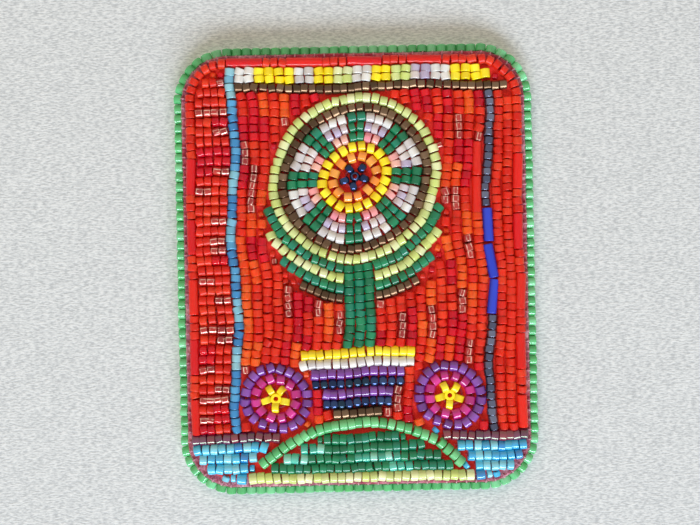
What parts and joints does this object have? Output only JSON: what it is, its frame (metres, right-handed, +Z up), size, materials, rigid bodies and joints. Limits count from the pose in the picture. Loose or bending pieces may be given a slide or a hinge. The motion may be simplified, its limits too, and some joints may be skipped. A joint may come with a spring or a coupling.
{
  "type": "beaded brooch",
  "caption": "Upright rounded rectangular brooch of glass beads sewn on felt, with a bead edging, a leather back and a hinged bar pin with a turning lock.",
  "frame": {"origin": "on the pin stem's axis, at the panel's middle plane", "axes": "+X along the pin stem to its point, +Z up the panel, the beaded front faces -Y"},
  "size_m": [0.0608, 0.0085, 0.0758],
  "materials": {
    "mint_glass": "glossy opaque glass",
    "vermilion_glass": "glossy opaque glass",
    "red_bugle_glass": "glossy tube",
    "cherry_glass": "glossy opaque glass",
    "silver_lined_glass": "transparent red glass with a silver lining",
    "sky_glass": "glossy opaque glass",
    "blue_glass": "glossy opaque glass",
    "white_glass": "glossy opaque glass",
    "yellow_glass": "glossy opaque glass",
    "lime_glass": "glossy opaque glass",
    "lilac_glass": "glossy opaque glass",
    "brown_glass": "metallic glaze",
    "orange_red_glass": "glossy opaque glass",
    "gunmetal_glass": "metallic glaze",
    "cobalt_glass": "glossy tube",
    "pink_glass": "glossy opaque glass",
    "emerald_glass": "glossy opaque glass",
    "orange_glass": "glossy opaque glass",
    "navy_glass": "metallic glaze, round bead",
    "purple_glass": "glossy opaque glass",
    "magenta_glass": "glossy opaque glass",
    "green_glass": "glossy opaque glass",
    "teal_glass": "glossy opaque glass",
    "aqua_glass": "transparent with a rainbow coat",
    "burgundy_glass": "transparent with a rainbow coat",
    "leather": "suede side out",
    "card": "plain",
    "felt": "fuzzy pressed felt",
    "red_thread": "waxed beading thread",
    "black_thread": "sewing thread",
    "pin_steel": "nickel-plated"
  },
  "bodies": {
    "panel": {"leather_backing": "leather", "stiffener_card": "card", "felt_base": "felt", "edging_beads": "mint_glass", "edge_stitches": "red_thread", "sewing_threads": "red_thread", "border_red_beads": "vermilion_glass", "border_red_bugles": "red_bugle_glass", "left_rows_vermilion": "vermilion_glass", "left_rows_cherry": "cherry_glass", "left_rows_glass": "silver_lined_glass", "stripe_sky": "sky_glass", "stripe_blue": "blue_glass", "band_white": "white_glass", "band_yellow": "yellow_glass", "band_lime": "lime_glass", "band_lilac": "lilac_glass", "band_line_brown": "brown_glass", "field_vermilion": "vermilion_glass", "field_cherry": "cherry_glass", "field_orange": "orange_red_glass", "field_glass": "silver_lined_glass", "field_red_bugles": "red_bugle_glass", "line_gunmetal": "gunmetal_glass", "line_cobalt_bugles": "cobalt_glass", "right_rows_red": "vermilion_glass", "flower_halo_lime": "lime_glass", "flower_outline_brown": "brown_glass", "flower_petals_white": "white_glass", "flower_petals_lilac": "lilac_glass", "flower_petals_pink": "pink_glass", "flower_gaps_emerald": "emerald_glass", "flower_ring_yellow": "yellow_glass", "flower_ring_orange": "orange_glass", "flower_core_navy": "navy_glass", "bud_rims_purple": "purple_glass", "bud_petals_magenta": "magenta_glass", "bud_centres_yellow": "yellow_glass", "stem_emerald": "emerald_glass", "leaf_outlines_brown": "brown_glass", "leaf_blades_emerald": "emerald_glass", "leaf_veins_lime": "lime_glass", "bowl_foot_brown": "brown_glass", "bowl_body_purple": "purple_glass", "bowl_body_navy": "navy_glass", "bowl_rim_white": "white_glass", "bowl_rim_yellow": "yellow_glass", "mound_crest_green": "green_glass", "mound_emerald": "emerald_glass", "mound_teal": "teal_glass", "mound_base_lime": "lime_glass", "corner_rows_aqua": "aqua_glass", "corner_lines_burgundy": "burgundy_glass", "pin_bar": "pin_steel", "hinge_rivet": "pin_steel", "catch_tube": "pin_steel", "bar_stitches": "black_thread"},
    "stem": {"pin_stem": "pin_steel"},
    "lock": {"catch_lock": "pin_steel"}
  },
  "joints": [
    {"name": "stem_hinge", "type": "hinge", "parent": "panel", "child": "stem", "pos_m": [-0.0167, 0, 0], "axis": [0, 0, 1], "range_deg": [0, 70]},
    {"name": "lock_turn", "type": "hinge", "parent": "panel", "child": "lock", "pos_m": [0.015, 0, 0], "axis": [-1, 0, 0], "range_deg": [0, 110]}
  ]
}
